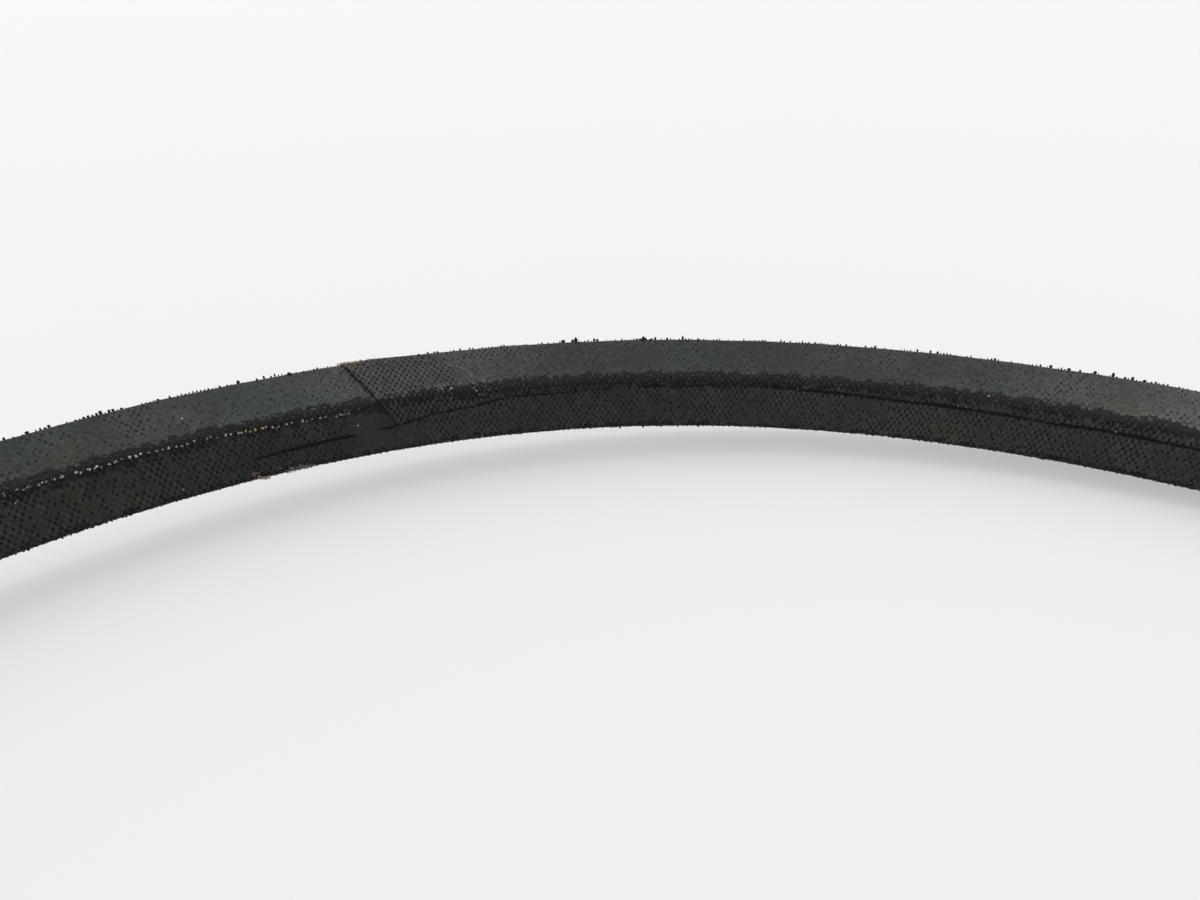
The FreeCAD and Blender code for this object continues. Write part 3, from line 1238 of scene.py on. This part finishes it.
@dataclass
class Dressing:
    """All the small things on the cover: yarn ends, corner yarns, flash, fray and lint.

    The trimmed edge is given by its ends in degrees, and scuffs and tufts by degrees, millimetres
    from a corner and a count.
    A speck is given by its angle in degrees, its shift past mid flank and its size in millimetres.
    A hair is given by the places that it passes, each an angle and a share of the way across.
    """

    belt: Belt
    splice: Splice
    yarn_step: float = 0.71 * MM
    trimmed: tuple[float, float] = (66.9, 97.0)
    scuffs: tuple[tuple[float, float, int], ...] = ((25.2, 0.5, 12), (24.4, 0.75, 12), (33.9, 0.45, 6))
    tufts: tuple[tuple[float, float, int], ...] = ((72.7, 0.9, 7), (72.45, 0.4, 14), (72.1, -0.05, 26))
    specks: tuple[tuple[float, float, float], ...] = (
        (75.4, 0.2, 0.15), (26.6, 3.2, 0.16), (66.4, 6.4, 0.12), (76.5, 9.6, 0.11),
        (28.3, 5.1, 0.09), (27.8, 5.1, 0.08), (19.4, 5.3, 0.12), (62.3, 9.0, 0.09))
    hairs: tuple[tuple[tuple[float, float], ...], ...] = (
        ((59.9, 0.0), (60.2, 0.2), (60.3, 0.33), (59.8, 0.42), (59.3, 0.5), (59.15, 0.7), (58.9, 0.85),
         (59.1, 0.97)),
        ((59.1, 0.62), (58.85, 0.8), (58.3, 0.93), (57.9, 0.9)))

    def angles(self, first: float, last: float, step: float) -> Iterator[float]:
        """Angles at even steps along the narrow face.

        Args:
            first: First angle.
            last: Angle to stop before.
            step: Length of a step.

        Yields:
            Each angle.
        """
        count = int(abs(last - first) * self.belt.inner_radius / step)
        for index in range(count):
            yield first + (last - first) * index / count

    def corner_yarns(self, stretch: Stretch, name: str, seed: int, rows: tuple[float, ...]) -> Piece:
        """Yarns that stand up in the coarse band where the cloth folds over one inner corner.

        Args:
            stretch: Corner that they cross.
            name: Name of the piece.
            seed: Seed of their differences.
            rows: Places of the rows of yarns from the corner's middle, in millimetres.

        Returns:
            The piece.
        """
        fluff = Fluff(self.belt, name, seed)
        chance = fluff.chance
        half_step = self.yarn_step / 2.0 / self.belt.inner_radius
        for row, shift in enumerate(rows):
            middle = self.belt.middle(stretch) + shift * MM
            for angle in self.angles(0.0, 2.0 * math.pi, self.yarn_step):
                if chance.random() < 0.12:
                    continue
                past = self.splice.past(angle, 0.0, 3.0 * MM)
                rubbed = bell(10.5 * MM, 4.5 * MM, past) * float(chance.random() < 0.35)
                shade = Shade(rubbed * chance.uniform(0.2, 0.8))
                turn = math.radians(60.0 if row % 2 else -60.0) + chance.gauss(0.0, 0.25)
                size = (chance.uniform(0.13, 0.26) * MM, chance.uniform(0.08, 0.13) * MM,
                        chance.uniform(0.06, 0.14) * MM)
                place = angle + (row % 2) * half_step + chance.gauss(0.0, 0.0006)
                fluff.bead(place, middle + chance.gauss(0.0, 0.12) * MM, size, turn, 0.02 * MM, shade)
        return fluff.finish()

    def yarn_ends(self) -> Piece:
        """Bare cut ends in a row under the upper corner, where the edge was trimmed.

        Returns:
            The piece.
        """
        fluff = Fluff(self.belt, "yarn_ends", 21)
        chance = fluff.chance
        line = self.belt.start(Stretch.NARROW)
        first, last = (math.radians(degrees) for degrees in self.trimmed)
        for angle in self.angles(first, last, self.yarn_step * 0.92):
            degrees = math.degrees(angle)
            strong = (0.6 + 0.4 * smooth(68.0, 71.5, degrees)) * (1.0 - 0.65 * smooth(80.5, 85.0, degrees))
            warm = bell(74.9, 1.6, degrees) + 0.9 * bell(72.0, 1.0, degrees) + 0.25 * chance.random()
            drop = 0.1 - 0.5 * smooth(67.0, 78.0, degrees)
            if chance.random() > 0.62 + 0.36 * strong:
                continue
            for _ in range(1 + (chance.random() < 0.35)):
                size = (chance.uniform(0.11, 0.22) * MM, chance.uniform(0.09, 0.15) * MM, 0.1 * MM)
                around = line + (drop + chance.gauss(0.0, 0.07)) * MM
                place = angle + chance.gauss(0.0, 0.0012)
                shade = Shade(strong * chance.uniform(0.35, 1.0), min(1.0, warm))
                fluff.bead(place, around, size, chance.gauss(0.3, 0.5), 0.04 * MM, shade)
        for _ in range(9):
            angle = first + chance.gauss(0.0, 0.0014)
            heading = math.pi / 2.0 + chance.gauss(0.0, 0.3)
            shade = Shade(chance.uniform(0.15, 0.45), 0.5)
            around = line - chance.uniform(0.1, 0.6) * MM
            fluff.wisp(angle, around, chance.uniform(0.3, 0.7) * MM, shade, 0.02, heading)
        return fluff.finish()

    def flash(self, stretch: Stretch, name: str, seed: int, size: float, spread: float,
              tallest: float, clear: float = 0.0) -> Piece:
        """Crumbs and spikes of rubber that the mould leaves along one corner.

        Args:
            stretch: Corner that they sit on.
            name: Name of the piece.
            seed: Seed of their differences.
            size: Radius of a middling crumb.
            spread: How far from the corner's middle they lie.
            tallest: Height of the tallest, in radii.
            clear: Angle each side of the resting places that has none.

        Returns:
            The piece.
        """
        fluff = Fluff(self.belt, name, seed)
        chance = fluff.chance
        middle = self.belt.middle(stretch)
        for angle in self.angles(0.0, 2.0 * math.pi, 0.4 * MM):
            crowd = 0.75 + 0.25 * math.sin(angle * 61.0) * math.sin(angle * 23.0 + seed)
            if chance.random() > crowd or abs(math.sin(angle)) < math.sin(clear):
                continue
            radius = size * min(1.9, math.exp(chance.gauss(-0.35, 0.42)))
            spike = chance.random() < 0.25
            tall = radius * (chance.uniform(1.3, tallest) if spike else chance.uniform(0.7, 1.3))
            around = middle + (chance.gauss(0.0, 1.0) + 0.6) * spread
            lying = (radius * chance.uniform(0.8, 1.3), radius * chance.uniform(0.7, 1.1), tall)
            fluff.bead(angle, around, lying, chance.uniform(0.0, 3.1), tall * 0.5, Shade())
        return fluff.finish()

    def fray(self) -> Piece:
        """Threads drawn out of the tail's end, the rubbed hairs near it and a few tufts.

        Returns:
            The piece.
        """
        fluff = Fluff(self.belt, "fray", 33)
        chance = fluff.chance
        top = self.belt.middle(Stretch.OUTER_UPPER)
        low = self.belt.middle(Stretch.RIDGE_LOWER)
        ridge = self.belt.middle(Stretch.RIDGE_UPPER)
        for _ in range(110):
            angle = math.radians(66.6 - abs(chance.gauss(0.0, 0.85)))
            shade = Shade(chance.uniform(0.4, 1.0), chance.uniform(0.5, 1.0))
            heading = math.pi + chance.gauss(0.0, 0.7)
            around = top + chance.gauss(0.45, 0.4) * MM
            fluff.wisp(angle, around, chance.uniform(0.4, 1.3) * MM, shade, 0.03, heading)
        for _ in range(14):
            angle = math.radians(66.4 - abs(chance.gauss(0.0, 0.5)))
            size = (chance.uniform(0.12, 0.3) * MM, chance.uniform(0.06, 0.12) * MM, 0.09 * MM)
            shade = Shade(chance.uniform(0.5, 1.0), chance.uniform(0.3, 1.0))
            around = top + chance.gauss(0.2, 0.25) * MM
            fluff.bead(angle, around, size, chance.gauss(0.0, 0.4), 0.08 * MM, shade)
        for degrees, rise, count in self.tufts:
            for _ in range(count):
                angle = math.radians(degrees + chance.gauss(0.0, 0.09))
                shade = Shade(chance.uniform(0.6, 1.0), chance.uniform(0.4, 0.9))
                around = low - (rise + chance.gauss(0.0, 0.1)) * MM
                fluff.wisp(angle, around, chance.uniform(0.2, 0.6) * MM, shade, 0.04)
        for _ in range(80):
            angle = math.radians(chance.gauss(70.2, 0.5))
            around = low - abs(chance.gauss(0.3, 0.35)) * MM
            shade = Shade(chance.uniform(0.45, 0.95), 0.1)
            fluff.wisp(angle, around, chance.uniform(0.1, 0.45) * MM, shade, 0.028)
        for _ in range(80):
            angle = math.radians(chance.uniform(57.8, 61.9))
            heading = -math.pi / 2.0 + chance.gauss(0.0, 0.5)
            shade = Shade(chance.uniform(0.25, 0.75))
            around = ridge - (0.7 + 0.5 * chance.random()) * MM
            fluff.wisp(angle, around, chance.uniform(0.2, 0.75) * MM, shade, 0.017, heading)
        rim = self.belt.start(Stretch.FLANK_UPPER)
        for degrees, shift, count in self.scuffs:
            for _ in range(count):
                angle = math.radians(degrees + chance.gauss(0.0, 0.22))
                around = rim + (shift + chance.gauss(0.0, 0.12)) * MM
                heading = chance.gauss(0.0, 0.25)
                length = chance.uniform(0.15, 0.5) * MM
                fluff.wisp(angle, around, length, Shade(chance.uniform(0.15, 0.4)), 0.02, heading)
        for degrees in (61.35, 61.05, 60.45):
            size = (0.1 * MM, 0.17 * MM, 0.1 * MM)
            fluff.bead(math.radians(degrees), ridge - 0.65 * MM, size, 0.2, 0.05 * MM, Shade(0.85, 0.15))
        return fluff.finish()

    def lint(self) -> Piece:
        """Pale specks and fine hairs that have settled on the cloth.

        Returns:
            The piece.
        """
        fluff = Fluff(self.belt, "lint", 47)
        chance = fluff.chance
        for _ in range(520):
            angle = chance.uniform(0.0, 2.0 * math.pi)
            around = chance.uniform(0.0, self.belt.girth)
            if chance.random() < 0.35:
                around = self.belt.start(Stretch.NARROW) + chance.gauss(0.4, 0.5) * MM
            radius = min(0.1, 0.026 * math.exp(chance.gauss(0.0, 0.6))) * MM
            size = (radius * chance.uniform(1.0, 1.6), radius, radius * 0.6)
            turn = chance.uniform(0.0, 3.1)
            fluff.bead(angle, around, size, turn, radius * 0.4, Shade(chance.uniform(0.35, 0.9)))
        flank = self.belt.middle(Stretch.FLANK_UPPER)
        for degrees, shift, size in self.specks:
            half = (size * 0.7 * MM, size * MM, size * 0.5 * MM)
            fluff.bead(math.radians(degrees), flank + shift * MM, half, 0.3, 0.03 * MM, Shade(0.95))
        for _ in range(40):
            angle = chance.uniform(0.0, 2.0 * math.pi)
            around = chance.uniform(0.0, self.belt.girth)
            fluff.wisp(angle, around, chance.uniform(0.5, 1.6) * MM, Shade(chance.uniform(0.3, 0.6)), 0.01)
        self.scuff(fluff)
        return fluff.finish()

    def scuff(self, fluff: Fluff) -> None:
        """Lays the long pale hairs across the upper flank beside the lap.

        Args:
            fluff: Mesh to add them to.
        """
        first = self.belt.start(Stretch.FLANK_UPPER)
        reach = self.belt.start(Stretch.RIDGE_UPPER) - first
        for way in self.hairs:
            points = []
            for (near, here), (far, there) in zip(way, way[1:]):
                for step in range(4):
                    share = step / 4.0
                    sway = 0.05 * math.sin(step * 2.1 + near * 9.0)
                    angle = math.radians(near + (far - near) * share + sway)
                    around = first + reach * (here + (there - here) * share)
                    points.append(self.belt.on_cover(angle, around, 0.03 * MM))
            fluff.thread(points, 0.022 * MM, Shade(0.6))

    def build(self) -> list[Piece]:
        """Builds every small piece.

        Returns:
            The pieces.
        """
        return [
            self.corner_yarns(Stretch.RIDGE_UPPER, "corner_yarns_upper", 3, (-1.0, -0.45, 0.1, 0.65)),
            self.corner_yarns(Stretch.RIDGE_LOWER, "corner_yarns_lower", 4, (0.0, 0.5, 0.95)),
            self.yarn_ends(),
            self.flash(Stretch.OUTER_UPPER, "flash_upper", 7, 0.16 * MM, 0.24 * MM, 1.7),
            self.flash(Stretch.OUTER_LOWER, "flash_lower", 8, 0.15 * MM, 0.2 * MM, 1.4, math.radians(16.0)),
            self.flash(Stretch.RIDGE_LOWER, "flash_inner", 9, 0.09 * MM, 0.2 * MM, 1.4),
            self.fray(),
            self.lint(),
        ]


@dataclass
class Inside:
    """The layers under the outer ply, which keep their own shapes."""

    belt: Belt

    def dress(self) -> None:
        """Gives each layer its finish."""
        dull = Compound("ply_back", Slot.CLOTH, (0.03, 0.031, 0.031), (0.06, 0.058, 0.052), 0.5 * MM)
        body = Compound("base_rubber", Slot.RUBBER, (0.012, 0.012, 0.013), (0.035, 0.034, 0.032), 0.8 * MM)
        crown = Compound("crown_rubber", Slot.RUBBER, (0.014, 0.014, 0.014), (0.03, 0.03, 0.03), 0.4 * MM)
        gum = Compound("adhesion_gum", Slot.GUM, (0.024, 0.02, 0.017), (0.05, 0.042, 0.034), 0.3 * MM,
                       (0.35, 0.6))
        cord = TwistedCord("tensile_cord", Slot.CORD, self.belt)
        finishes = {"inner_cover_ply": dull, "compression_rubber": body, "tension_rubber": crown,
                    "adhesion_gum": gum, "tensile_cord": cord}
        for name, finish in finishes.items():
            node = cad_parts[name]
            node.data.materials.clear()
            node.data.materials.append(finish.material())
            log.info("%s: dressed as %s", name, finish.name)


@dataclass
class Studio:
    """Table, camera and soft light."""

    camera_place: tuple[float, float, float] = (5.60 * MM, 25.05 * MM, 58.92 * MM)
    yaw: float = math.radians(-45.60)
    pitch: float = math.radians(-30.90)
    roll: float = math.radians(-1.61)
    lens: float = 24.0
    sensor: float = 36.0
    nearest: float = 5.0 * MM
    table_reach: float = 12.0
    table_cells: int = 8
    key_power: float = 0.9
    key_spread: float = math.radians(48.0)
    key_from: tuple[float, float, float] = (0.02, 0.03, 1.0)
    ambient: float = 1.16
    sky: tuple[float, float, float, float] = (1.0, 0.998, 0.992, 1.0)

    def set_table(self) -> None:
        """Lays the pale table under the belt, reaching well past it all round."""
        mesh = bmesh.new()
        bmesh.ops.create_grid(mesh, x_segments=self.table_cells, y_segments=self.table_cells,
                              size=self.table_reach)
        data = bpy.data.meshes.new("table")
        mesh.to_mesh(data)
        mesh.free()
        table = bpy.data.objects.new("table", data)
        bpy.context.scene.collection.objects.link(table)
        data.materials.append(TableTop().material())

    def set_camera(self) -> None:
        """Puts the camera inside the loop, looking down across its far side."""
        forward = Vector((-math.sin(self.yaw) * math.cos(self.pitch),
                          math.cos(self.yaw) * math.cos(self.pitch), math.sin(self.pitch)))
        level = Vector((math.cos(self.yaw), math.sin(self.yaw), 0.0))
        upright = level.cross(forward)
        right = level * math.cos(self.roll) + upright * math.sin(self.roll)
        above = upright * math.cos(self.roll) - level * math.sin(self.roll)
        camera = bpy.data.objects.new("camera", bpy.data.cameras.new("camera"))
        camera.data.lens = self.lens
        camera.data.sensor_width = self.sensor
        camera.data.clip_start = self.nearest
        turned = Matrix((right, above, -forward)).transposed().to_4x4()
        camera.matrix_world = Matrix.Translation(self.camera_place) @ turned
        bpy.context.scene.collection.objects.link(camera)
        bpy.context.scene.camera = camera

    def set_light(self) -> None:
        """Broad soft light from above the far side, and an even sky."""
        data = bpy.data.lights.new("key", "SUN")
        data.energy = self.key_power
        data.angle = self.key_spread
        key = bpy.data.objects.new("key", data)
        key.rotation_euler = Vector(self.key_from).to_track_quat("Z", "Y").to_euler()
        bpy.context.scene.collection.objects.link(key)
        world = bpy.data.worlds.new("sky")
        world.use_nodes = True
        background = world.node_tree.nodes["Background"]
        background.inputs["Color"].default_value = self.sky
        background.inputs["Strength"].default_value = self.ambient
        bpy.context.scene.world = world
        bpy.context.scene.view_settings.view_transform = "Standard"

    def build(self) -> None:
        """Sets the whole stage."""
        self.set_table()
        self.set_camera()
        self.set_light()


def main() -> None:
    """Builds the belt's looks in order."""
    logging.basicConfig(level=logging.INFO, format="%(message)s")
    belt = Belt.from_frame()
    splice = Splice(belt)
    Studio().build()
    cover = Cover(belt, splice)
    cover.build()
    Lap(cover).build()
    Dressing(belt, splice).build()
    Inside(belt).dress()


if __name__ == "__main__":
    main()
